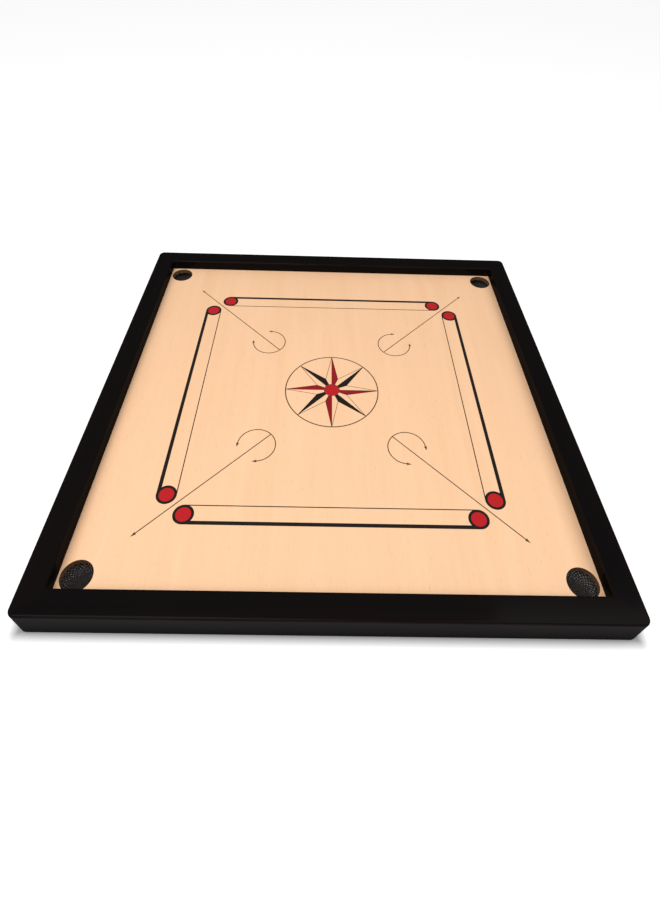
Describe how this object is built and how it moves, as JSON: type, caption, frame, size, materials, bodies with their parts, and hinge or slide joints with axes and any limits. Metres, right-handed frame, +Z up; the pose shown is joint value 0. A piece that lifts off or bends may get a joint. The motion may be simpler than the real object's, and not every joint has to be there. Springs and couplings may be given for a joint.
{
  "type": "carrom board",
  "caption": "Square tabletop carrom board: mitred black lacquered frame round a lacquered plywood bed, with netted corner pockets and battens below.",
  "frame": {"origin": "centre of the board's underside, on the plane of the frame's bottom edges", "axes": "+Z up through the playing surface, +X to the right rail, -Y to the front rail"},
  "size_m": [0.8128, 0.8128, 0.05],
  "materials": {
    "frame_lacquer": "black gloss lacquer over hardwood",
    "playing_ply": "pale plywood with a clear satin lacquer",
    "batten_wood": "planed softwood, unfinished",
    "dowel_wood": "beech, unfinished",
    "net_yarn": "knotted dark twine",
    "rim_cord": "twisted dark cord",
    "screw_steel": "zinc plated, satin",
    "tack_steel": "blued steel, satin"
  },
  "bodies": {
    "root": {"batten_back": "batten_wood", "batten_front": "batten_wood", "batten_left": "batten_wood", "batten_right": "batten_wood", "batten_screws": "screw_steel", "mitre_dowels": "dowel_wood", "net_back_left": "net_yarn", "net_back_right": "net_yarn", "net_front_left": "net_yarn", "net_front_right": "net_yarn", "net_tacks": "tack_steel", "panel_screws": "screw_steel", "playing_panel": "playing_ply", "rail_back": "frame_lacquer", "rail_front": "frame_lacquer", "rail_left": "frame_lacquer", "rail_right": "frame_lacquer", "rim_cord_back_left": "rim_cord", "rim_cord_back_right": "rim_cord", "rim_cord_front_left": "rim_cord", "rim_cord_front_right": "rim_cord"}
  },
  "joints": []
}
